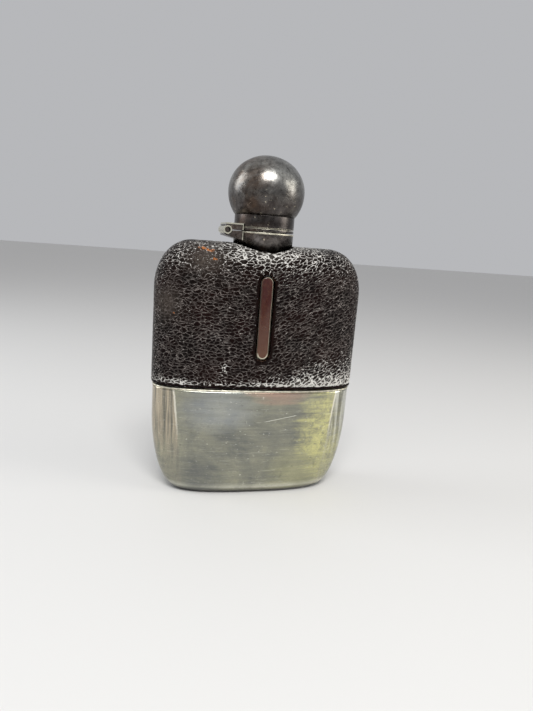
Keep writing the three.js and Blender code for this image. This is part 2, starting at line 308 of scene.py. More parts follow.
def turned(profile, steps=160, closed=True):
    """A mesh spun about Z from (radius, height) points."""
    bm = bmesh.new()
    verts = [bm.verts.new((r, 0, z)) for r, z in profile]
    pairs = list(zip(verts, verts[1:]))
    if closed:
        pairs.append((verts[-1], verts[0]))
    edges = [bm.edges.new(pair) for pair in pairs]
    bmesh.ops.spin(bm, geom=verts + edges, cent=(0, 0, 0), axis=(0, 0, 1), dvec=(0, 0, 0),
                   angle=math.tau, steps=steps, use_merge=True, use_duplicate=False)
    bmesh.ops.remove_doubles(bm, verts=bm.verts[:], dist=1e-5)
    bmesh.ops.recalc_face_normals(bm, faces=bm.faces[:])
    return bm


def prism(outline, low, high):
    """A mesh extruded along Y from (x, z) points between two stations."""
    bm = bmesh.new()
    verts = [bm.verts.new((x, low, z)) for x, z in outline]
    face = bm.faces.new(verts)
    grown = bmesh.ops.extrude_face_region(bm, geom=[face], use_keep_orig=True)
    moved = [v for v in grown["geom"] if isinstance(v, bmesh.types.BMVert)]
    bmesh.ops.translate(bm, vec=(0, high - low, 0), verts=moved)
    bmesh.ops.recalc_face_normals(bm, faces=bm.faces[:])
    return bm


def rod(radius, low, high):
    """A round rod along the hinge's axis, between two stations."""
    bm = bmesh.new()
    turn = Matrix.Rotation(math.pi / 2, 4, "X")
    place = Matrix.Translation((HINGE_X, (low + high) / 2, HINGE_Z)) @ turn
    bmesh.ops.create_cone(bm, cap_ends=True, segments=64, radius1=radius, radius2=radius,
                          depth=high - low, matrix=place)
    return bm


def combined(base, other, operation):
    """The union, difference or intersection of two closed meshes, as a new mesh."""
    held = []
    for bm in (base, other):
        mesh = bpy.data.meshes.new("working")
        bm.to_mesh(mesh)
        bm.free()
        obj = bpy.data.objects.new("working", mesh)
        bpy.context.scene.collection.objects.link(obj)
        held.append(obj)
    modifier = held[0].modifiers.new("join", "BOOLEAN")
    modifier.operation = operation
    modifier.solver = "EXACT"
    modifier.object = held[1]
    bpy.context.view_layer.update()
    graph = bpy.context.evaluated_depsgraph_get()
    result = bmesh.new()
    result.from_mesh(held[0].evaluated_get(graph).to_mesh())
    for obj in held:
        mesh = obj.data
        bpy.data.objects.remove(obj)
        bpy.data.meshes.remove(mesh)
    return result


def bevel_corners(bm, width, look=1):
    """Rounds every corner sharper than 40 degrees and gives the rounding its own look."""
    bmesh.ops.dissolve_limit(bm, angle_limit=math.radians(0.5), verts=bm.verts[:], edges=bm.edges[:])
    bm.normal_update()
    sharp = [e for e in bm.edges if e.is_manifold and e.calc_face_angle(0) > math.radians(40)]
    made = bmesh.ops.bevel(bm, geom=sharp, offset=width, offset_type="OFFSET", segments=3,
                           profile=0.5, affect="EDGES", clamp_overlap=True, material=-1)
    for face in made["faces"]:
        face.material_index = look


def walled(bm, thickness):
    """Gives an open sheet a wall on its inner side. Returns the new inner vertices."""
    bm.normal_update()
    grown = bmesh.ops.extrude_face_region(bm, geom=bm.faces[:], use_keep_orig=True)
    inner = [v for v in grown["geom"] if isinstance(v, bmesh.types.BMVert)]
    steps = [(v, v.normal.copy()) for v in inner]
    for vert, normal in steps:
        vert.co -= normal * thickness
    bmesh.ops.recalc_face_normals(bm, faces=bm.faces[:])
    return inner


def line_inside(bm, outer):
    """Gives a walled sheet's inner faces, which use none of its outer vertices, the second look."""
    for face in bm.faces:
        if not any(v in outer for v in face.verts):
            face.material_index = 1


def smoothstep(low, high, value):
    """0 below low, 1 above high, and a smooth rise between."""
    part = min(max((value - low) / (high - low), 0.0), 1.0)
    return part * part * (3 - 2 * part)


# --- Material helpers ----------------------------------------------------------------------------
def shade(colour, factor):
    """A colour times one factor, or times one factor for each of its parts."""
    factors = (factor,) * 3 if isinstance(factor, (int, float)) else factor
    return tuple(c * f for c, f in zip(colour, factors))


class Look:
    """A material under construction, with short calls for the nodes it is made of."""

    def __init__(self, name):
        self.material = bpy.data.materials.new(name)
        self.material.use_nodes = True
        self.tree = self.material.node_tree
        self.shader = next(n for n in self.tree.nodes if n.type == "BSDF_PRINCIPLED")
        self.place = self.add("ShaderNodeTexCoord").outputs["Object"]

    @classmethod
    def again(cls, material):
        """Takes up a finished material to add to it."""
        look = cls.__new__(cls)
        look.material = material
        look.tree = material.node_tree
        look.shader = next(n for n in look.tree.nodes if n.type == "BSDF_PRINCIPLED")
        look.place = look.add("ShaderNodeTexCoord").outputs["Object"]
        return look

    def add(self, kind, inputs=None, **settings):
        node = self.tree.nodes.new(kind)
        for key, value in settings.items():
            setattr(node, key, value)
        for key, value in (inputs or {}).items():
            self.feed(node.inputs[key], value)
        return node

    def feed(self, socket, value):
        if isinstance(value, bpy.types.NodeSocket):
            self.tree.links.new(value, socket)
        elif socket.type == "RGBA":
            red, green, blue_reflection = (value,) * 3 if isinstance(value, (int, float)) else value[:3]
            socket.default_value = (red, green, blue_reflection, 1)
        else:
            socket.default_value = value

    def set(self, **values):
        """Sets the shader's own sockets, named with underscores for spaces."""
        for key, value in values.items():
            self.feed(self.shader.inputs[key.replace("_", " ")], value)

    def stretched(self, scale=(1, 1, 1), turn=(0, 0, 0), shift=(0, 0, 0)):
        """Object coordinates, scaled, turned in degrees and moved."""
        radians = tuple(math.radians(a) for a in turn)
        node = self.add("ShaderNodeMapping", {"Vector": self.place, "Scale": scale, "Rotation": radians,
                                              "Location": shift})
        return node.outputs["Vector"]

    def noise(self, scale, detail=4, roughness=0.6, vector=None, distortion=0.0):
        node = self.add("ShaderNodeTexNoise", {"Vector": vector or self.place, "Scale": scale,
                                               "Detail": detail, "Roughness": roughness,
                                               "Distortion": distortion})
        return node.outputs["Fac"]

    def ramp(self, value, *stops):
        """A colour ramp from (position, grey level or colour) stops."""
        node = self.add("ShaderNodeValToRGB", {"Fac": value})
        band = node.color_ramp
        while len(band.elements) < len(stops):
            band.elements.new(0.5)
        for element, (position, colour) in zip(band.elements, stops):
            element.position = position
            if isinstance(colour, (int, float)):
                colour = (colour, colour, colour)
            element.color = (*colour[:3], 1)
        return node.outputs["Color"]

    def mix(self, factor, a, b, blend="MIX"):
        node = self.add("ShaderNodeMix", data_type="RGBA", blend_type=blend, clamp_factor=True)
        self.feed(node.inputs[0], factor)
        self.feed(node.inputs[6], a)
        self.feed(node.inputs[7], b)
        return node.outputs[2]

    def math(self, operation, a, b=0.0, clamp=False):
        node = self.add("ShaderNodeMath", operation=operation, use_clamp=clamp)
        self.feed(node.inputs[0], a)
        self.feed(node.inputs[1], b)
        return node.outputs[0]

    def times(self, a, b):
        return self.math("MULTIPLY", a, b)

    def plus(self, a, b):
        return self.math("ADD", a, b)

    def minus(self, a, b, clamp=False):
        return self.math("SUBTRACT", a, b, clamp)

    def vector(self, operation, a, b):
        node = self.add("ShaderNodeVectorMath", operation=operation)
        self.feed(node.inputs[0], a)
        self.feed(node.inputs[1], b)
        return node.outputs[0]

    def net(self, vector, scale):
        """Distance to the edges of a net of uneven cells."""
        node = self.add("ShaderNodeTexVoronoi", feature="DISTANCE_TO_EDGE")
        self.feed(node.inputs["Vector"], vector)
        self.feed(node.inputs["Scale"], scale)
        self.feed(node.inputs["Randomness"], 1.0)
        return node.outputs["Distance"]

    def attribute(self, name):
        return self.add("ShaderNodeAttribute", attribute_name=name).outputs["Fac"]

    def bump(self, height, distance, strength=1.0, under=None):
        node = self.add("ShaderNodeBump", {"Height": height, "Distance": distance, "Strength": strength})
        if under is not None:
            self.feed(node.inputs["Normal"], under)
        return node.outputs["Normal"]

    def axis(self, letter):
        return self.add("ShaderNodeSeparateXYZ", {"Vector": self.place}).outputs[letter]


def leather_look():
    """Dark glossy goatskin: raised cells between fine furrows, pale ridge lines kept mostly on each cell's
    upper flank as a painted highlight, and pale rubbed ridges where it is worn, which on the shoulders also
    paint glints.
    """
    look = Look("black_brown_leather")
    tint = colours()
    place = look.add("ShaderNodeAttribute", attribute_name="grain_place").outputs["Vector"]
    wear = look.attribute("wear")
    bare = look.attribute("bare")
    plain = look.attribute("plain")
    scuff = look.attribute("scuff")
    grained = look.minus(1.0, plain, clamp=True)
    drift = look.add("ShaderNodeTexNoise", {"Vector": place, "Scale": 0.62, "Detail": 2, "Roughness": 0.6})
    spread = look.vector("SUBTRACT", drift.outputs["Color"], (0.5, 0.5, 0.5))
    bent = look.vector("ADD", place, look.vector("MULTIPLY", spread, (1.5, 1.5, 1.0)))
    net = look.net(bent, 1.0)
    small = look.net(look.vector("ADD", bent, (31, 17, 5)), 2.1)
    fine = look.noise(2.6, 3, 0.65, place)
    rarity = look.ramp(look.noise(0.5, 2, 0.5, place), (0.35, 0.35), (0.6, 1))

    # Painted highlight: the ridge lines are kept mostly on the upper flank of each cell, where a light from
    # above would catch them, so they paint lit arcs as well as the ridges' own paler tone.
    above = look.net(look.vector("ADD", bent, (0, 0, 0.12)), 1.0)
    upper = look.ramp(look.minus(net, above), (0.015, 0.12), (0.09, 1))
    ridge_line_and_highlight = look.times(look.ramp(net, (0.0, 0.25), (0.035, 1), (0.08, 0.8), (0.145, 0)), upper)
    ridge_line_and_highlight = look.times(ridge_line_and_highlight, rarity)
    ridge_line_and_highlight = look.times(ridge_line_and_highlight, look.ramp(fine, (0.36, 0.2), (0.54, 1)))
    ridge_line_and_highlight = look.times(ridge_line_and_highlight, grained)
    patches = look.noise(70, 3)
    warm = shade(tint.hide, (2.6, 1.6, 1.4))
    cells = look.mix(look.ramp(patches, (0.4, 0), (0.7, 1)), tint.hide, warm)
    scuffed = look.mix(fine, (0.035, 0.028, 0.024), (0.11, 0.09, 0.075))
    cells = look.mix(look.times(scuff, look.ramp(fine, (0.3, 0.4), (0.6, 1))), cells, scuffed)
    dusty = look.times(look.ramp(wear, (0.2, 0), (0.42, 1)), look.ramp(fine, (0.3, 0.5), (0.6, 1)))
    cells = look.mix(dusty, cells, (0.1, 0.09, 0.08))
    base = look.mix(ridge_line_and_highlight, cells, tint.ridge_and_highlight)

    crest = look.ramp(net, (0.02, 1), (0.19, 0))
    height = look.plus(look.times(crest, 0.47), look.times(fine, 0.84))
    rubbed = look.minus(look.plus(height, wear), 1.0)
    mask = look.ramp(rubbed, (0.0, 0), (0.06, 1))
    micro = look.noise(9.0, 2, 0.6, place)
    grubby = shade(tint.wear, 0.62)
    worn = look.mix(look.ramp(micro, (0.4, 0), (0.6, 1)), grubby, tint.wear)
    base = look.mix(mask, base, worn)
    base = look.mix(bare, base, tint.bare)
    rough = look.mix(mask, (0.27, 0.27, 0.27), (0.75, 0.75, 0.75))
    rough = look.mix(scuff, rough, (0.52, 0.52, 0.52))

    swell = look.ramp(net, (0.0, 0), (0.1, 0.5), (0.34, 1))
    creased = look.ramp(small, (0.0, 0), (0.14, 1))
    relief = look.plus(look.times(swell, 0.75), look.times(creased, 0.16))
    relief = look.plus(look.times(relief, grained), look.times(micro, 0.07))
    normal = look.bump(relief, 0.00042, 1.0)
    look.set(Base_Color=base, Roughness=rough, Normal=normal, Specular_IOR_Level=0.05)
    return look.material


def silver_look():
    """Worn silver plate: warm mottled tarnish and fine scratches that mostly run level, with painted
    reflections of the room as soft coloured patches on the face, a painted reflection band and highlight
    line down the side bends, painted shade towards the foot and a painted glint band just above it.
    """
    look = Look("cup_silver")
    tint = colours()
    cloud = look.noise(48, 5, 0.62, distortion=0.6)
    spots = look.noise(520, 4, 0.7)
    grit = look.noise(1500, 2, 0.6, look.stretched((0.5, 1, 1)))
    brush = look.noise(260, 4, 0.75, look.stretched((0.22, 1, 3.2), (0, 5, 0)))
    streak = look.noise(60, 5, 0.7, look.stretched((0.5, 1, 7), (0, 7, 0)))
    hair = look.noise(420, 4, 0.85, look.stretched((0.13, 1, 3.6), (0, 6, 0)), 1.6)
    cross = look.noise(380, 3, 0.8, look.stretched((0.12, 1, 3), (0, -31, 0)), 1.0)
    x = look.axis("X")
    z = look.axis("Z")
    front = look.ramp(look.times(look.axis("Y"), -60), (0.1, 0), (0.3, 1))

    def stain_and_reflection(middle, across, up, edge=0.35):
        """A soft spot of painted reflection in the plane of the face, with a ragged outline."""
        dx = look.math("DIVIDE", look.minus(x, middle[0] * MM), across * MM)
        dz = look.math("DIVIDE", look.minus(z, middle[1] * MM), up * MM)
        reach = look.plus(look.times(dx, dx), look.times(dz, dz))
        reach = look.plus(reach, look.times(look.minus(streak, 0.5), edge * 5))
        return look.times(look.ramp(reach, (0.0, 1), (1.0, 0)), front)

    warm = shade(tint.silver, (1.28, 1.26, 1.08))
    grey = shade(tint.silver, (0.6, 0.62, 0.66))
    base = look.mix(look.ramp(cloud, (0.36, 0), (0.64, 1)), grey, warm)
    base = look.mix(look.ramp(streak, (0.42, 0), (0.7, 0.45)), base, grey)
    base = look.mix(look.times(look.ramp(brush, (0.45, 0), (0.7, 1)), 0.4), base, warm)
    # Painted reflections of the room: soft blue-grey, pink, yellow-green and olive patches on the cup's
    # face.
    blue_reflection = look.times(stain_and_reflection((-17, 39), 19, 12), 0.45)
    base = look.mix(blue_reflection, base, (0.4, 0.43, 0.46))
    pink_reflection = look.times(stain_and_reflection((9, 46), 16, 5), 0.8)
    base = look.mix(pink_reflection, base, (0.50, 0.33, 0.26))
    crackle = look.ramp(look.noise(330, 5, 0.75, distortion=0.8), (0.38, 0.3), (0.58, 1))
    yellow_reflection = look.times(stain_and_reflection((32, 29), 15, 24, 0.5), crackle)
    base = look.mix(look.times(yellow_reflection, 0.95), base, (0.72, 0.69, 0.33))
    olive_reflection = look.times(stain_and_reflection((20, 10), 16, 14), 0.35)
    base = look.mix(olive_reflection, base, (0.5, 0.49, 0.26))
    base = look.mix(look.ramp(spots, (0.6, 0), (0.74, 0.55)), base, shade(tint.silver, 0.4))
    # Painted reflection: a band down each side bend, warm on the left and pale on the right, broken by
    # flutes.
    aside = look.plus(look.math("ABSOLUTE", x), look.times(streak, 0.8 * MM))
    aside = look.plus(aside, look.times(look.minus(z, 40 * MM), -0.12))
    bend = look.ramp(look.times(aside, 20), (0.706, 0), (0.714, 1))
    bend = look.times(bend, look.ramp(look.times(z, 20), (0.3, 0.15), (0.62, 1)))
    bend_reflection = look.mix(look.ramp(look.times(x, 500), (-0.5, 0), (0.5, 1)),
                        (0.58, 0.49, 0.37), (0.66, 0.66, 0.62))
    flutes = look.noise(700, 3, 0.7, look.stretched((1, 1, 0.05)))
    flutes = look.times(look.ramp(flutes, (0.36, 0.9), (0.58, 0)), front)
    bend_reflection = look.mix(flutes, bend_reflection, shade(tint.silver, 0.4))
    base = look.mix(look.times(bend, 0.75), base, bend_reflection)
    # Painted highlight: a bright line along each side bend.
    crest = look.ramp(look.times(aside, 20), (0.70, 0), (0.708, 1), (0.714, 1), (0.722, 0))
    crest = look.times(crest, look.ramp(look.times(z, 20), (0.5, 0), (0.75, 0.8)))
    base = look.mix(look.times(crest, front), base, (0.9, 0.86, 0.74))
    # Painted shade: the wall darkens towards the foot.
    foot = look.ramp(look.times(z, 100), (0.05, 0.9), (0.26, 0))
    base = look.mix(foot, base, (0.04, 0.036, 0.03))
    glint = look.ramp(look.times(z, 100), (0.24, 0), (0.34, 0.75), (0.55, 0))
    base = look.mix(look.times(glint, look.ramp(cloud, (0.3, 0.2), (0.6, 1))), base, (0.7, 0.69, 0.6))
    along = look.ramp(hair, (0.60, 0), (0.66, 1))
    scratch = look.math("MAXIMUM", along, look.ramp(cross, (0.64, 0), (0.69, 1)))
    path = look.minus(look.times(look.minus(x, 3.4 * MM), 0.2),
                     look.minus(z, 33.6 * MM))
    path = look.plus(path, look.times(look.minus(cloud, 0.5), 0.6 * MM))
    groove = look.ramp(look.times(look.math("ABSOLUTE", path), 5000), (0.25, 1), (0.75, 0))
    span = look.ramp(look.times(look.math("ABSOLUTE", look.minus(x, 10.4 * MM)), 100),
                     (0.6, 1), (0.75, 0))
    groove = look.times(look.times(groove, span), front)
    scratch = look.math("MAXIMUM", look.times(scratch, 0.3), groove)
    base = look.mix(scratch, base, (0.8, 0.79, 0.7))
    dots = look.ramp(grit, (0.70, 0), (0.74, 1))
    base = look.mix(look.times(dots, 0.8), base, (0.85, 0.84, 0.76))
    rough = look.ramp(cloud, (0.3, 0.17), (0.7, 0.27))
    rough = look.mix(scratch, rough, (0.45, 0.45, 0.45))
    rough = look.mix(look.times(look.ramp(brush, (0.45, 0), (0.7, 1)), 0.5), rough, (0.36, 0.36, 0.36))
    normal = look.bump(look.minus(brush, look.times(scratch, 0.5)), 0.000012, 1.0)
    look.set(Base_Color=base, Metallic=1.0, Roughness=rough, Normal=normal)
    return look.material


def hinge_look():
    """Tarnished plate, rubbed bright along the leaves' top, the ends by the collar and the knuckles."""
    material = gunmetal_look("hinge_plate")
    look = Look.again(material)
    x = look.axis("X")
    y = look.axis("Y")
    z = look.axis("Z")
    rag = look.times(look.noise(700, 3), 0.35 * MM)
    top = look.minus(LEAF_TOP * MM, look.plus(z, rag))
    out = look.math("SQRT", look.plus(look.times(x, x), look.times(y, y)))
    end = look.minus(look.plus(out, rag), (COLLAR_RADIUS + LEAF_GAP) * MM)
    dx = look.minus(x, HINGE_X * MM)
    dz = look.minus(z, HINGE_Z * MM)
    reach = look.math("SQRT", look.plus(look.times(dx, dx), look.times(dz, dz)))
    loop = look.minus(1.72 * MM, reach)
    near = look.math("MINIMUM", look.math("ABSOLUTE", top), look.math("ABSOLUTE", end))
    rubbed = look.ramp(look.times(near, 1000), (0.34, 1), (0.5, 0))
    ring = look.ramp(look.times(loop, 1000), (0.0, 1), (0.5, 0.9), (0.62, 0))
    inside = look.ramp(look.times(loop, 1000), (0.0, 0), (0.02, 1))
    mask = look.math("MAXIMUM", rubbed, look.times(ring, inside))
    under = look.shader.inputs["Base Color"].links[0].from_socket
    look.set(Base_Color=look.mix(look.times(mask, 0.85), under, (0.82, 0.79, 0.64)))
    return material


def gunmetal_look(name="tarnished_plate"):
    """Tarnished plate: dark gunmetal with brown patches, pits and bright specks. Painted highlight makes the
    ball lighter towards its top, painted brown reflection joins the patches on the left, and painted shade
    darkens a band round the ball's lower part and the skirt.
    """
    look = Look(name)
    tint = colours()
    cloud = look.noise(95, 6, 0.68, distortion=0.9)
    brown_tarnish_and_reflection = look.noise(62, 5, 0.7, look.stretched((1, 1, 1), shift=(0.013, 0.02, 0.006)), 0.6)
    # The brown is kept to the left side: part tarnish, part painted brown reflection.
    left = look.plus(look.times(look.axis("X"), 25), 0.5)
    left = look.ramp(look.plus(left, look.times(cloud, 0.2)), (0.42, 1), (0.66, 0.1))
    mottle = look.noise(420, 4, 0.7, distortion=0.4)
    pits = look.noise(900, 3, 0.7)
    specks = look.noise(760, 3, 0.65, look.stretched((1, 1, 1), shift=(0.3, 0.1, 0.2)))
    hair = look.noise(420, 3, 0.8, look.stretched((0.3, 0.3, 1.6), (14, 10, 0)), 0.3)
    light = shade(tint.tarnish, 3.2)
    base = look.mix(look.ramp(cloud, (0.36, 0), (0.66, 1)), tint.tarnish, light)
    # Painted highlight: lighter towards the top of the ball.
    crown = look.ramp(look.times(look.minus(look.axis("Z"), 0.12), 40), (0.2, 0), (0.6, 0.95))
    base = look.mix(look.times(crown, look.ramp(cloud, (0.3, 0.45), (0.6, 1))), base, (0.4, 0.4, 0.375))
    base = look.mix(look.times(look.ramp(brown_tarnish_and_reflection, (0.42, 0), (0.66, 0.7)), left), base,
                    (0.135, 0.078, 0.045))
    base = look.mix(look.ramp(mottle, (0.46, 0), (0.7, 0.6)), base, (0.024, 0.019, 0.018))
    scabs = look.noise(210, 5, 0.75, look.stretched((1, 1, 1), shift=(0.1, 0.4, 0.2)), 1.2)
    base = look.mix(look.ramp(scabs, (0.52, 0), (0.64, 0.5)), base, (0.02, 0.015, 0.014))
    base = look.mix(look.ramp(scabs, (0.36, 0.5), (0.43, 0)), base, (0.2, 0.185, 0.16))
    base = look.mix(look.ramp(mottle, (0.28, 0.45), (0.42, 0)), base, (0.23, 0.22, 0.2))
    # Painted shade: a darker band round the ball's lower part and the skirt.
    under = look.ramp(look.times(look.minus(look.axis("Z"), 0.105), 25), (0.24, 0), (0.29, 0.6), (0.66, 0))
    base = look.mix(under, base, (0.016, 0.012, 0.011))
    base = look.mix(look.ramp(pits, (0.62, 0), (0.7, 0.8)), base, (0.012, 0.01, 0.009))
    base = look.mix(look.ramp(specks, (0.66, 0), (0.71, 0.85)), base, (0.62, 0.55, 0.42))
    rough = look.ramp(cloud, (0.3, 0.22), (0.7, 0.34))
    rough = look.mix(look.ramp(hair, (0.58, 0), (0.7, 0.6)), rough, (0.55, 0.55, 0.55))
    normal = look.bump(look.plus(pits, look.times(mottle, 0.6)), 0.00004, 0.8)
    look.set(Base_Color=base, Metallic=1.0, Roughness=rough, Normal=normal)
    return look.material


def worn_edge_look():
    """Bright rubbed metal along beads and corners."""
    look = Look("worn_bright_edge")
    tint = colours()
    spots = look.noise(500, 3, 0.7)
    dull = shade(tint.worn_edge, 0.6)
    base = look.mix(look.ramp(spots, (0.42, 0), (0.62, 1)), tint.worn_edge, dull)
    look.set(Base_Color=base, Metallic=1.0, Roughness=look.ramp(spots, (0.3, 0.3), (0.7, 0.5)))
    return look.material


def glass_look():
    """Old clear glass, a little grey-green, with a brown bloom inside the window strip and a painted
    highlight on the strip's right side and foot.
    """
    look = Look("old_glass")
    bloom = look.noise(160, 4)
    fleck = look.noise(900, 2)
    ahead = look.times(look.axis("Y"), -60)
    strip = look.ramp(ahead, (0.82, 0), (0.86, 1))
    rise = look.ramp(look.times(look.axis("Z"), 10), (0.62, 0), (0.86, 1))
    stain_and_reflection = look.mix(rise, (0.11, 0.036, 0.014), (0.05, 0.006, 0.004))
    stain_and_reflection = look.mix(look.ramp(fleck, (0.4, 0), (0.7, 0.3)), stain_and_reflection, (0.13, 0.06, 0.03))
    half = sizes().slot_width / 2 - STRIP_GAP * MM
    foot = sizes().slot_low + STRIP_GAP * MM + half
    head = sizes().slot_high - STRIP_GAP * MM - half
    x = look.axis("X")
    z = look.axis("Z")
    level = look.math("MINIMUM", look.math("MAXIMUM", z, foot), head)
    dz = look.minus(z, level)
    reach = look.plus(look.times(x, x), look.times(dz, dz))
    out = look.plus(look.math("SQRT", reach), look.times(bloom, 0.2 * MM))
    # Painted highlight: the strip's rounded rim is paler on its right side and along its foot, as if its
    # bevel caught the light.
    rim = look.ramp(look.times(out, 1 / half / 2), (0.445, 0), (0.475, 1))
    lit = look.ramp(look.times(look.plus(x, 3 * MM), 150), (0.3, 0.12), (0.6, 0.8))
    below = look.ramp(look.times(look.minus(foot + 0.5 * MM, z), 500), (0.0, 0), (0.6, 1))
    foot_rim = look.ramp(look.times(out, 1 / half / 2), (0.36, 0), (0.41, 1))
    rim = look.math("MAXIMUM", look.times(rim, lit), look.times(foot_rim, below))
    stain_and_reflection = look.mix(rim, stain_and_reflection, (0.74, 0.68, 0.52))
    tint = look.mix(strip, (0.80, 0.84, 0.79), stain_and_reflection)
    rough = look.ramp(bloom, (0.35, 0.04), (0.7, 0.14))
    clear = look.ramp(ahead, (0.82, 1), (0.86, 0.25))
    look.set(Base_Color=tint, Roughness=rough, Transmission_Weight=clear, IOR=1.5)
    return look.material


def flesh_look():
    """The leather's undyed inner side."""
    look = Look("leather_flesh_side")
    nap = look.noise(1100, 4, 0.7)
    base = look.mix(look.ramp(nap, (0.3, 0), (0.7, 1)), (0.22, 0.10, 0.055), (0.38, 0.2, 0.11))
    look.set(Base_Color=base, Roughness=0.85, Normal=look.bump(nap, 0.0001, 0.6))
    return look.material


def cork_look():
    look = Look("cork")
    crumbs = look.add("ShaderNodeTexVoronoi", {"Vector": look.place, "Scale": 900.0, "Randomness": 1.0})
    pores = look.noise(1500, 3, 0.7)
    base = look.mix(crumbs.outputs["Distance"], (0.42, 0.24, 0.12), (0.2, 0.1, 0.05))
    base = look.mix(look.ramp(pores, (0.6, 0), (0.7, 1)), base, (0.07, 0.035, 0.02))
    look.set(Base_Color=base, Roughness=0.85, Normal=look.bump(pores, 0.00008, 0.7))
    return look.material


def plaster_look():
    look = Look("neck_plaster")
    chalk = look.noise(1300, 4, 0.7)
    base = look.mix(chalk, (0.62, 0.57, 0.48), (0.78, 0.74, 0.66))
    look.set(Base_Color=base, Roughness=0.95, Normal=look.bump(chalk, 0.00008, 0.6))
    return look.material


def gilt_look():
    """The washed gold inside of the cup."""
    look = Look("gilt_wash")
    cloud = look.noise(60, 5, 0.65)
    base = look.mix(look.ramp(cloud, (0.35, 0), (0.7, 1)), (0.78, 0.56, 0.24), (0.55, 0.42, 0.24))
    look.set(Base_Color=base, Metallic=1.0, Roughness=look.ramp(cloud, (0.3, 0.22), (0.7, 0.4)))
    return look.material


LOOKS = {}


def look_of(name):
    """Each material is made once and shared."""
    makers = {"leather": leather_look, "silver": silver_look, "gunmetal": gunmetal_look, "hinge": hinge_look,
              "edge": worn_edge_look, "glass": glass_look, "flesh": flesh_look, "cork": cork_look,
              "plaster": plaster_look, "gilt": gilt_look}
    if name not in LOOKS:
        LOOKS[name] = makers[name]()
    return LOOKS[name]


# --- Leather cover ---------------------------------------------------------------------------------
def slot_distance(x, z):
    """Distance outside the window's edge, in millimetres; negative inside it."""
    size = sizes()
    half = size.slot_width / MM / 2
    low = size.slot_low / MM + half
    high = size.slot_high / MM - half
    return math.hypot(x, z - min(max(z, low), high)) - half


def snap_to_slot(vert, side, form):
    """Moves a vertex of the cut edge onto the window's outline."""
    size = sizes()
    half = size.slot_width / MM / 2
    middle = min(max(vert.co.z, size.slot_low / MM + half), size.slot_high / MM - half)
    away = Vector((vert.co.x, vert.co.z - middle)).normalized() * half
    vert.co.x = away.x
    vert.co.z = middle + away.y
    vert.co.y = side * form.face(vert.co.x, vert.co.z, SEAM)


def snap_to_neck(vert, side, form, radius):
    """Moves a vertex of the cut edge onto the round mouth for the neck."""
    reach = math.hypot(vert.co.x, vert.co.y)
    vert.co.x *= radius / reach
    vert.co.y *= radius / reach
    if abs(vert.co.y) > SEAM + 0.05:
        vert.co.z = form.crown(vert.co.x, vert.co.y)


def grain_place(co, cell):
    """The grain's own coordinates, in cells: drawn out across, and leaning up to the right of the window."""
    lean = 0.42 * max(co.x - 3, 0) if co.y < 0 else 0.0
    return Vector((co.x * 0.7, co.y * 1.25, (co.z - lean) * 1.2)) / cell


def spot_at(x, z, middle, across, up):
    """A soft spot's strength at x and z."""
    return math.exp(-((x - middle[0]) / across) ** 2 - ((z - middle[1]) / up) ** 2)


def wear_and_glint_at(co, edge):
    """How far the finish is rubbed away: along the lower edge, the shoulders and round the neck. Across the
    shoulders it is partly painted glint: pale lines where the shoulders' gloss would catch the light.
    """
    x, z = co.x, co.z
    rise = z - edge
    patch = 0.5 + 0.5 * noise.noise(co * 0.16 + Vector((2, 9, 4)))
    fleck = 0.5 + 0.5 * noise.noise(co * 0.8 + Vector((5, 1, 7)))
    right = smoothstep(-12, 12, x)
    low = smoothstep(1.3, 1.7, rise) * math.exp(-max(rise - 2.2, 0) / (1.3 + 1.6 * right))
    low *= 0.12 + 0.22 * right + 0.2 * fleck
    swell = smoothstep(9, 22, x - 0.35 * rise) * (1 - smoothstep(8, 19, rise - 0.16 * max(x - 20, 0)))
    corner = swell * smoothstep(1.3, 1.9, rise) * 0.27 * fleck * math.exp(-max(rise - 6, 0) / 26)
    dots = 0.22 * spot_at(x, z, (-15.5, 57.2), 2.2, 2.6) + 0.22 * spot_at(x, z, (-35, 50.5), 6, 1.6)
    # The shoulder band is widened to the left to paint the shoulders' glossy glints as pale rubbed ridges;
    # it is part wear, part painted glint.
    middle = 0.62 + 0.38 * smoothstep(-34, -12, x) * (1 - smoothstep(14, 34, x))
    shoulder_wear_and_glint = smoothstep(90, 104.5, z) * (0.05 + 0.17 * patch + 0.14 * fleck) * middle
    neck = 0.15 * math.exp(-max(math.hypot(x, co.y) - 13, 0) / 4.5) * smoothstep(98, 103, z)
    sides = 0.12 * smoothstep(39, 44.5, abs(x)) * (0.2 + 0.8 * patch)
    return min(low + corner + dots + shoulder_wear_and_glint + neck + sides, 0.75)


def bare_at(co):
    """Tan chips on the front's left shoulder and left side."""
    if co.y > 0:
        return 0.0
    rough = 0.5 + 0.5 * noise.noise(co * 1.3)
    chips = (spot_at(co.x, co.z, (-27, 105.5), 2.0, 0.8) + spot_at(co.x, co.z, (-23.5, 104.8), 2.2, 0.6)
             + spot_at(co.x, co.z, (-22, 101.5), 1.2, 0.5) + spot_at(co.x, co.z, (-37.2, 79.0), 0.7, 0.5))
    return smoothstep(0.42, 0.62, chips * rough * 1.35)


def smooth_at(co):
    """Where the grain is rubbed flat, on the front's left shoulder and left side."""
    if co.y > 0:
        return 0.0
    rubbed = (spot_at(co.x, co.z, (-25, 101.5), 7, 5) + 0.8 * spot_at(co.x, co.z, (-40, 83), 4.5, 6))
    return min(rubbed, 0.9)


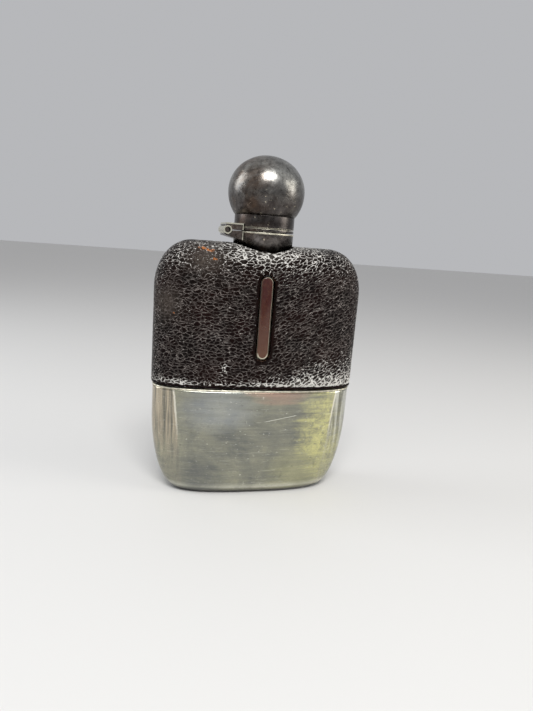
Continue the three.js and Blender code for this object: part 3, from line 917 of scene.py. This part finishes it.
def hide_sheet(side):
    """One half of the cover as an open sheet: a grid laid on the form, cut for the neck and window."""
    step = sizes().mesh_step / MM
    form = FlaskForm(0, 0, SHOULDER_TOP)
    heights = side_heights(form, COVER_LOW.z, SHOULDER_TOP, step)
    across = int((2 * HALF_WIDTH + HALF_DEPTH) / step)
    section = half_section(across)
    rows = len(heights) - 1
    bm = bmesh.new()
    bmesh.ops.create_grid(bm, x_segments=across, y_segments=rows, size=1)
    for vert in bm.verts:
        u, v = section[round((vert.co.x + 1) / 2 * across)]
        z = heights[round((vert.co.y + 1) / 2 * rows)]
        vert.co = (form.width(z) * u, side * (SEAM + (form.depth(z) - SEAM) * v), z)
    neck = COLLAR_RADIUS + MOUTH_GAP

    def in_neck(co):
        return co.z > 95 and math.hypot(co.x, co.y) < neck

    def in_slot(co):
        return side < 0 and slot_distance(co.x, co.z) < 0

    cut = [f for f in bm.faces if in_neck(f.calc_center_median()) or in_slot(f.calc_center_median())]
    bmesh.ops.delete(bm, geom=cut, context="FACES")
    for vert in bm.verts:
        if not vert.is_boundary:
            continue
        if vert.co.z > 95 and math.hypot(vert.co.x, vert.co.y) < neck + 2 * step:
            snap_to_neck(vert, side, form, neck)
        elif side < 0 and abs(slot_distance(vert.co.x, vert.co.z)) < 1.5 * step:
            snap_to_slot(vert, side, form)
    bmesh.ops.remove_doubles(bm, verts=bm.verts[:], dist=0.02)
    bmesh.ops.recalc_face_normals(bm, faces=bm.faces[:])
    bm.normal_update()
    if sum(f.normal.y * side for f in bm.faces) < 0:
        bmesh.ops.reverse_faces(bm, faces=bm.faces[:])
    return bm


def emboss(bm, inner, side):
    """Presses the grain, the tooled lines and the rounded edges into the cover's outer side."""
    size = sizes()
    cell = size.grain_cell / MM
    depth = size.grain_depth / MM
    round_edge = size.turned_edge / MM
    border = size.slot_border / MM
    layers = {name: bm.verts.layers.float.new(name) for name in ("plain", "wear", "bare", "scuff")}
    place = bm.verts.layers.float_vector.new("grain_place")
    inner = set(inner)
    bm.normal_update()
    moves = []
    for vert in bm.verts:
        co = vert.co
        vert[place] = grain_place(co, cell)
        if vert in inner:
            continue
        edge = co.z - COVER_LOW.z
        slot = slot_distance(co.x, co.z) if side < 0 else 99.0
        neck = math.hypot(co.x, co.y) - COLLAR_RADIUS - MOUTH_GAP if co.z > 95 else 99.0
        seam = abs(co.y) - SEAM
        grained = smoothstep(1.1, 1.8, edge) * smoothstep(border * 0.85, border + 0.5, slot)
        scuff = smooth_at(co)
        pebble = noise.noise(Vector(vert[place]) * 0.9) * 0.5 + 0.5
        drop = depth * pebble * grained * (1 - scuff)
        drop += 0.2 * math.exp(-((edge - 1.45) / 0.3) ** 2)
        drop += 0.3 * math.exp(-((slot - border) / 0.33) ** 2)
        drop += 0.12 * math.exp(-(seam / 0.4) ** 2)
        drop += 0.09 * (0.5 + 0.5 * noise.noise(co * 0.11))
        for gap, radius in ((edge, round_edge), (slot, round_edge * 0.8), (neck, round_edge * 0.8)):
            if gap < radius:
                drop += radius - math.sqrt(max(radius ** 2 - (radius - max(gap, 0)) ** 2, 0))
        vert[layers["plain"]] = 1 - grained * (1 - scuff)
        kept = (1 - 0.6 * scuff) * smoothstep(0.3, 1.2, slot) * smoothstep(0.1, 0.6, seam)
        vert[layers["wear"]] = wear_and_glint_at(co, COVER_LOW.z) * kept
        vert[layers["bare"]] = bare_at(co)
        vert[layers["scuff"]] = scuff
        away = vert.normal.copy()
        if seam < 0.05:
            away.y = 0
            away.normalize()
        moves.append((vert, away * -drop))
    for vert, move in moves:
        vert.co += move


class HIPFLASK_OT_leather_cover(bpy.types.Operator):
    """Makes the two halves of the grained leather cover."""

    bl_idname = "hip_flask.leather_cover"
    bl_label = "Leather Cover"

    def execute(self, context):
        for side, name, node in ((-1, "hide_front", "leather_front"), (1, "hide_back", "leather_back")):
            bm = hide_sheet(side)
            outer = set(bm.verts)
            inner = walled(bm, sizes().leather / MM)
            line_inside(bm, outer)
            emboss(bm, inner, side)
            piece(name, bm, [look_of("leather"), look_of("flesh")], "root", "leather", node)
        return {"FINISHED"}


# --- Drinking cup ------------------------------------------------------------------------------------
def full_section():
    """Unit points of the whole plan section, spaced evenly on the real one."""
    half = half_section(SECTION_STEPS // 2)
    return half[:-1] + [(-u, -v) for u, v in half[:-1]]


SECTION = full_section()


def section_point(co, count=SECTION_STEPS):
    """The unit point of the section that a vertex of a mesh spun in count steps stands for."""
    step = round(math.atan2(co.y, co.x) / math.tau * count) % count
    return SECTION[step * SECTION_STEPS // count]


def lay_on_form(bm, form, count=SECTION_STEPS):
    """Lays a spun unit mesh on the form. A vertex's radius is its share of the section."""
    for vert in bm.verts:
        share = min(math.hypot(vert.co.x, vert.co.y), 1.0)
        u, v = section_point(vert.co, count)
        z = vert.co.z
        vert.co = (form.width(z) * u * share, form.depth(z) * v * share, z)


def level_profile(form, low, high, step):
    """Levels of a form's wall from its floor up, close together round the base."""
    heights = [low + (high - low) * (i / 3000) ** 3 for i in range(3001)]
    dense = [(form.width(z), form.depth(z), z) for z in heights]
    lengths = sum(math.dist(a, b) for a, b in zip(dense, dense[1:]))
    return [z for _, _, z in even_steps(dense, int(lengths / step))]


def cup_bm():
    """The cup's outer side: a floor and a wall laid on the form, with shallow waves beaten into the wall."""
    form = FlaskForm(CUP_INSET, 0, SHOULDER_TOP)
    levels = level_profile(form, 0, CUP_TOP, 0.8)
    shares = [0.0, 0.2, 0.4, 0.6, 0.75, 0.87, 0.95]
    profile = [(share, 0.0) for share in shares] + [(1.0, z) for z in levels]
    bm = turned(profile, SECTION_STEPS, closed=False)
    lay_on_form(bm, form)
    for vert in bm.verts:
        co = vert.co
        if co.z > 3:
            wave = noise.noise(co * 0.045 + Vector((3, 1, 8))) * 0.13 + noise.noise(co * 0.13) * 0.035
            held = smoothstep(3, 12, co.z) * smoothstep(0, 4, abs(co.y)) * smoothstep(0, 6, CUP_TOP - co.z)
            vert.co.y -= math.copysign(1, co.y) * (0.06 + wave) * held
    bmesh.ops.recalc_face_normals(bm, faces=bm.faces[:])
    bm.normal_update()
    lowest = min(bm.faces, key=lambda f: f.calc_center_median().z)
    if lowest.normal.z > 0:
        bmesh.ops.reverse_faces(bm, faces=bm.faces[:])
    return bm


def rim_bm():
    """The wire round the cup's mouth: a half-round section swept round the form."""
    low, high = RIM_LOW.z, RIM_HIGH.z
    middle = (low + high) / 2
    half = (high - low) / 2
    crest, bulge, inside = 0.5, 0.35, 1.3
    turns = [math.pi * k / 8 for k in range(9)]
    arc = [(crest + bulge * (1 - math.sin(turn)), middle - half * math.cos(turn)) for turn in turns]
    section = [(inside, low), *arc, (inside, high)]
    bm = turned([(1 + i, z) for i, (_, z) in enumerate(section)], SECTION_STEPS)
    for vert in bm.verts:
        inset, z = section[round(math.hypot(vert.co.x, vert.co.y)) - 1]
        form = FlaskForm(inset, 0, SHOULDER_TOP)
        u, v = section_point(vert.co)
        vert.co = (form.width(z) * u, form.depth(z) * v, z)
    bmesh.ops.recalc_face_normals(bm, faces=bm.faces[:])
    return bm


class HIPFLASK_OT_cup(bpy.types.Operator):
    """Makes the drinking cup and the wire round its mouth."""

    bl_idname = "hip_flask.cup"
    bl_label = "Drinking Cup"

    def execute(self, context):
        bm = cup_bm()
        outer = set(bm.verts)
        walled(bm, sizes().cup_wall / MM)
        line_inside(bm, outer)
        piece("drinking_cup", bm, [look_of("silver"), look_of("gilt")], "cup", "cup_plate", "cup_shell")
        piece("cup_rim_wire", rim_bm(), [look_of("edge")], "cup", "cup_plate", "cup_rim")
        return {"FINISHED"}


# --- Neck and cap --------------------------------------------------------------------------------
def collar_bm():
    """The collar: a tube with a rolled bead on top and a foot that follows the glass shoulder."""
    top = COLLAR_TOP
    r = COLLAR_RADIUS
    bead = r + 0.15
    lip = SLEEVE[1] + 0.3
    profile = [(r - COLLAR_WALL, 100), (r, 100), (r, top - 0.75), (bead, top - 0.55), (bead, top - 0.1),
               (r - 0.1, top), (lip, top), (lip, top - COLLAR_WALL), (r - COLLAR_WALL, top - COLLAR_WALL)]
    profile = soften(profile, 0.16)
    bm = turned(profile)
    form = FlaskForm(1.4, 1, SHOULDER_TOP - 1.4)
    for vert in bm.verts:
        if vert.co.z < 105:
            vert.co.z = form.crown(vert.co.x, vert.co.y) + 0.05
    return bm


def mark(bm, test):
    """Gives the faces that pass a test of their middle the second look."""
    for face in bm.faces:
        if test(face.calc_center_median()):
            face.material_index = 1


class HIPFLASK_OT_neck(bpy.types.Operator):
    """Makes the glass bottle, the sleeve and the collar, and finishes the plaster and the lugs."""

    bl_idname = "hip_flask.neck"
    bl_label = "Bottle and Neck"

    def execute(self, context):
        metal = [look_of("gunmetal"), look_of("edge")]
        bm = collar_bm()
        bead = (COLLAR_TOP - 0.72, COLLAR_TOP - 0.02)
        mark(bm, lambda c: bead[0] < c.z < bead[1] and math.hypot(c.x, c.y) > COLLAR_RADIUS + 0.02)
        piece("neck_collar_tube", bm, metal, "root", "dark_plate", "neck_collar")
        inner, outer = SLEEVE
        low, high = SLEEVE_LOW.z, SLEEVE_HIGH.z
        profile = soften([(inner, low), (outer, low), (outer, high), (inner, high)], 0.18)
        piece("sleeve_tube", turned(profile), metal, "root", "dark_plate", "neck_sleeve")
        piece("bottle_glass", glass_bm(), [look_of("glass")], "root", "glass", "glass_bottle")
        for name, look in (("neck_cement", "plaster"), ("bayonet_lug_front", "gunmetal"),
                           ("bayonet_lug_back", "gunmetal"), ("bayonet_ring", "gunmetal")):
            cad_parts[name].data.materials.clear()
            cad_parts[name].data.materials.append(look_of(look))
        return {"FINISHED"}


def glass_bm():
    """The bottle: an outer and an inner form joined at the lip of the neck."""
    outer = FlaskForm(GLASS_INSET, 1, SHOULDER_TOP - GLASS_INSET)
    inner = FlaskForm(GLASS_INSET + GLASS_WALL, 4.5, SHOULDER_TOP - 4.5)
    meshes = []
    for form in (outer, inner):
        levels = level_profile(form, form.low, form.high - 0.05, 2.0)
        profile = [(0.0, form.low), (0.5, form.low)] + [(1.0, z) for z in levels] + [(0.0, form.high - 0.05)]
        bm = turned(profile, SECTION_STEPS // 2, closed=False)
        lay_on_form(bm, form, SECTION_STEPS // 2)
        bmesh.ops.recalc_face_normals(bm, faces=bm.faces[:])
        meshes.append(bm)
    top = GLASS_TOP
    body, hollow = meshes
    flare = [(10.2, 103), (9.6, 105.8), (8.3, 107.6), (NECK_RADIUS, 108.6)]
    outside = [(0, 103), *flare, (NECK_RADIUS, top), (0, top)]
    neck = turned(soften(outside, 0.8, 5, closed=False), 96, closed=False)
    lip = (BORE_RADIUS + 1.1, top + 0.6)
    inside = [(0, 98), (BORE_RADIUS, 98), (BORE_RADIUS, top - 0.7), lip, (0, top + 0.6)]
    bore = turned(soften(inside, 0.5, 5, closed=False), 96, closed=False)
    result = combined(body, neck, "UNION")
    result = combined(result, strip_bm(), "UNION")
    result = combined(result, hollow, "DIFFERENCE")
    return combined(result, bore, "DIFFERENCE")


def strip_bm():
    """The raised strip of glass that fills the window, with rounded edges."""
    size = sizes()
    half = size.slot_width / MM / 2 - STRIP_GAP
    low = size.slot_low / MM + STRIP_GAP + half
    high = size.slot_high / MM - STRIP_GAP - half
    arc = [(half * math.cos(turn), half * math.sin(turn)) for turn in (math.pi * k / 16 for k in range(17))]
    outline = [(x, high + z) for x, z in arc] + [(-x, low - z) for x, z in arc]
    front = -HALF_DEPTH + 0.35
    bm = prism(outline, front, front + 3.5)
    face_edges = [e for e in bm.edges if all(abs(v.co.y - front) < 1e-6 for v in e.verts)]
    bmesh.ops.bevel(bm, geom=face_edges, offset=0.7, offset_type="OFFSET", segments=5, profile=0.5,
                    affect="EDGES", clamp_overlap=True, material=-1)
    return bm


def ball_profile():
    """The ball's section: out along its outside from the mouth to the top, and back along its inside."""
    radius = BALL_HIGH.x
    centre = BALL_HIGH.z - radius * BALL_FLATTEN
    mouth = SKIRT_HIGH.z + 0.05

    def sweep(r):
        start = math.acos((mouth - centre) / r)
        points = []
        for i in range(41):
            turn = start * (1 - i / 40)
            rise = r * math.cos(turn) * (BALL_FLATTEN if turn < math.pi / 2 else 1)
            points.append((r * math.sin(turn) if i < 40 else 0.0, centre + rise))
        return points

    return sweep(radius) + sweep(radius - BALL_WALL)[::-1]


def disc(profile, radius, steps):
    """A solid round piece, from a profile that starts and ends on the axis, with softened edges."""
    return turned(soften(profile, radius, closed=False), steps, closed=False)


class HIPFLASK_OT_cap(bpy.types.Operator):
    """Makes the ball, its skirt, the plate inside and the cork seal."""

    bl_idname = "hip_flask.cap"
    bl_label = "Ball Cap"

    def execute(self, context):
        metal = [look_of("gunmetal"), look_of("edge")]
        bm = turned(ball_profile(), 192)
        for vert in bm.verts:
            x, y, z = vert.co
            dent = 0
            if y < -8:
                dent = spot_at(x, z, (5, 136), 2.6, 2.2) + 0.7 * spot_at(x, z, (-4, 120.8), 3, 1.2)
            ripple = 0.06 * noise.noise(vert.co * 0.18)
            vert.co *= 1 - (0.12 * dent + 0.06 + ripple) * 0.01
        bmesh.ops.recalc_face_normals(bm, faces=bm.faces[:])
        piece("ball", bm, metal, "cap", "dark_plate", "cap_ball")

        low, high = SKIRT_LOW.z, SKIRT_HIGH.z
        r = COLLAR_RADIUS
        bore = SKIRT_BORE
        bm = turned(soften([(bore, low), (r, low), (r, high - 0.3), (r - 0.2, high), (bore, high)], 0.14))
        mark(bm, lambda c: c.z < low + 0.16 and math.hypot(c.x, c.y) > r - 0.1)
        piece("skirt", bm, metal, "cap", "dark_plate", "cap_skirt")

        silver = [look_of("silver")]
        low, high = (corner.z for corner in box_mm("cap_inner_plate"))
        bm = disc([(0, low), (PLATE_RADIUS, low), (PLATE_RADIUS, high), (0, high)], 0.1, 128)
        piece("inner_plate", bm, silver, "cap", "cup_plate", "cap_inner_plate")
        low, high = (corner.z for corner in box_mm("cork_cup"))
        inner, outer = CORK_CUP
        floor = high - 0.3
        profile = [(0, floor), (inner, floor), (inner, low), (outer, low), (outer, high), (0, high)]
        bm = disc(profile, 0.1, 128)
        piece("seal_cup", bm, silver, "cap", "cup_plate", "cork_cup")
        low, high = (corner.z for corner in box_mm("cork_pad"))
        bm = disc([(0, low), (CORK_RADIUS, low), (CORK_RADIUS, high), (0, high)], 0.25, 96)
        piece("seal_cork", bm, [look_of("cork")], "cap", "cork", "cork_pad")
        return {"FINISHED"}


# --- Hinge -----------------------------------------------------------------------------------------
def around_neck():
    """The space that the leaves leave for the neck and the cap."""
    reach = COLLAR_RADIUS + LEAF_GAP
    return turned([(0, 100), (reach, 100), (reach, 125), (0, 125)], 160, closed=False)


def leaf(outline, cut_spans, knuckle_spans):
    """A hinge leaf: a plate cleared round the other leaf's knuckles, with its own joined on."""
    bm = prism(outline, -LEAF_HALF, LEAF_HALF)
    for low, high in cut_spans:
        bm = combined(bm, rod(KNUCKLE_RADIUS + KNUCKLE_GAP, low, high), "DIFFERENCE")
    for low, high in knuckle_spans:
        bm = combined(bm, rod(KNUCKLE_RADIUS, low, high), "UNION")
    bm = combined(bm, around_neck(), "DIFFERENCE")
    bm = combined(bm, rod(PIN_BORE, -LEAF_HALF - 1, LEAF_HALF + 1), "DIFFERENCE")
    bevel_corners(bm, 0.32)
    return bm


class HIPFLASK_OT_hinge(bpy.types.Operator):
    """Makes the two leaves, the pin and the ring that carries the cap."""

    bl_idname = "hip_flask.hinge"
    bl_label = "Hinge"

    def execute(self, context):
        metal = [look_of("gunmetal"), look_of("edge")]
        plate = [look_of("hinge"), look_of("edge")]
        left, right = LEAF_LEFT, LEAF_RIGHT
        floor = HINGE_Z + 0.2
        outline = [(left, floor), (right, floor), (right, LEAF_TOP), (left, LEAF_TOP)]
        inner = MIDDLE_KNUCKLE + 0.1
        upper = leaf(outline, [(-inner, inner)], [(-LEAF_HALF, -inner), (inner, LEAF_HALF)])
        sharpen(piece("upper_leaf", upper, plate, "hinge_carrier", "dark_plate", "hinge_upper_leaf"), 30)
        top = HINGE_Z - 0.2
        outline = [(left, LEAF_FOOT[0]), (right, LEAF_FOOT[1]), (right, top), (left, top)]
        inner = MIDDLE_KNUCKLE - 0.1
        past = LEAF_HALF + 1
        lower = leaf(outline, [(-past, -inner), (inner, past)], [(-inner, inner)])
        sharpen(piece("lower_leaf", lower, plate, "root", "dark_plate", "hinge_lower_leaf"), 30)
        pin = rod(PIN_RADIUS, PIN_LOW.y, PIN_HIGH.y)
        bevel_corners(pin, 0.15, look=0)
        sharpen(piece("pin", pin, [look_of("gunmetal")], "root", "pin_metal", "hinge_pin"), 35)
        low, high = RING_LOW.z, RING_HIGH.z
        r = COLLAR_RADIUS
        step = (12.15, low + 0.55)
        profile = [(11.5, step[1]), step, (step[0], low), (r, low), (r, high), (11.5, high)]
        bm = turned(soften(profile, 0.12))
        mark(bm, lambda c: c.z > high - 0.16 and math.hypot(c.x, c.y) > r - 0.2)
        piece("carrier_ring", bm, metal, "hinge_carrier", "dark_plate", "hinge_ring")
        return {"FINISHED"}


# --- Stage -----------------------------------------------------------------------------------------
CAMERA_DISTANCE = 0.23773
CAMERA_HEIGHT = 0.11065
CAMERA_TURNS = (-12.49, -1.26, 12.0, 4.37)      # azimuth, pan, downward pitch and roll, in degrees
CAMERA_LENS = 27.6
WORLD_STRENGTH = 0.55


def area_light(name, place, target, size, power, colour=(1, 1, 1)):
    data = bpy.data.lights.new(name, "AREA")
    data.shape = "RECTANGLE"
    data.size, data.size_y = size
    data.energy = power
    data.color = colour
    obj = bpy.data.objects.new(name, data)
    obj.location = place
    obj.rotation_euler = (Vector(target) - Vector(place)).to_track_quat("-Z", "Y").to_euler()
    bpy.context.scene.collection.objects.link(obj)


class HIPFLASK_OT_stage(bpy.types.Operator):
    """Sets the pale floor, the soft lights and the camera."""

    bl_idname = "hip_flask.stage"
    bl_label = "Stage"

    def execute(self, context):
        scene = context.scene
        scene.view_settings.view_transform = "Standard"
        bm = bmesh.new()
        bmesh.ops.create_grid(bm, x_segments=1, y_segments=1, size=3)
        mesh = bpy.data.meshes.new("floor")
        bm.to_mesh(mesh)
        bm.free()
        floor = bpy.data.objects.new("floor", mesh)
        scene.collection.objects.link(floor)
        look = Look("pale_floor")
        look.set(Base_Color=(0.72, 0.71, 0.69), Roughness=0.6)
        mesh.materials.append(look.material)

        world = bpy.data.worlds.new("studio")
        world.use_nodes = True
        world.node_tree.nodes["Background"].inputs["Color"].default_value = (0.86, 0.87, 0.9, 1)
        world.node_tree.nodes["Background"].inputs["Strength"].default_value = WORLD_STRENGTH
        scene.world = world
        middle = (0, 0, 0.08)
        area_light("key", (-0.05, -0.42, 0.62), middle, (0.32, 0.22), 3.4)
        area_light("side", (0.62, -0.25, 0.3), middle, (0.3, 0.5), 1.5, (1, 0.97, 0.9))
        area_light("rim", (-0.6, 0.15, 0.35), middle, (0.3, 0.5), 1.5, (0.92, 0.96, 1))

        azimuth, pan, pitch, roll = (math.radians(angle) for angle in CAMERA_TURNS)
        place = Matrix.Rotation(azimuth, 3, "Z") @ Vector((0, -CAMERA_DISTANCE, CAMERA_HEIGHT))
        yaw = azimuth + pan
        ahead = Vector((-math.sin(yaw) * math.cos(pitch), math.cos(yaw) * math.cos(pitch), -math.sin(pitch)))
        level = Vector((math.cos(yaw), math.sin(yaw), 0))
        upright = level.cross(ahead)
        right = level * math.cos(roll) + upright * math.sin(roll)
        up = upright * math.cos(roll) - level * math.sin(roll)
        data = bpy.data.cameras.new("camera")
        data.lens = CAMERA_LENS
        data.sensor_width = 36
        data.clip_start = 0.01
        camera = bpy.data.objects.new("camera", data)
        turn = Matrix((right, up, -ahead)).transposed()
        camera.matrix_world = Matrix.Translation(place) @ turn.to_4x4()
        scene.collection.objects.link(camera)
        scene.camera = camera
        return {"FINISHED"}


class HIPFLASK_PT_panel(bpy.types.Panel):
    """Lists the flask's pieces, sizes and colours in the sidebar."""

    bl_idname = "HIPFLASK_PT_panel"
    bl_label = "Hip Flask"
    bl_space_type = "VIEW_3D"
    bl_region_type = "UI"
    bl_category = "Hip Flask"

    def draw(self, context):
        column = self.layout.column()
        for operator in OPERATORS:
            column.operator(operator.bl_idname)
        for group in (sizes(), colours()):
            for name in group.__annotations__:
                column.prop(group, name)


OPERATORS = (HIPFLASK_OT_stage, HIPFLASK_OT_leather_cover, HIPFLASK_OT_cup, HIPFLASK_OT_neck,
             HIPFLASK_OT_cap, HIPFLASK_OT_hinge)
CLASSES = (HipFlaskSizes, HipFlaskColours, *OPERATORS, HIPFLASK_PT_panel)


def register():
    for cls in CLASSES:
        bpy.utils.register_class(cls)
    bpy.types.Scene.hip_flask_sizes = bpy.props.PointerProperty(type=HipFlaskSizes)
    bpy.types.Scene.hip_flask_colours = bpy.props.PointerProperty(type=HipFlaskColours)


def unregister():
    del bpy.types.Scene.hip_flask_colours
    del bpy.types.Scene.hip_flask_sizes
    for cls in reversed(CLASSES):
        bpy.utils.unregister_class(cls)


def main():
    register()
    bpy.ops.hip_flask.stage()
    bpy.ops.hip_flask.leather_cover()
    bpy.ops.hip_flask.cup()
    bpy.ops.hip_flask.neck()
    bpy.ops.hip_flask.cap()
    bpy.ops.hip_flask.hinge()


if __name__ == "__main__":
    main()
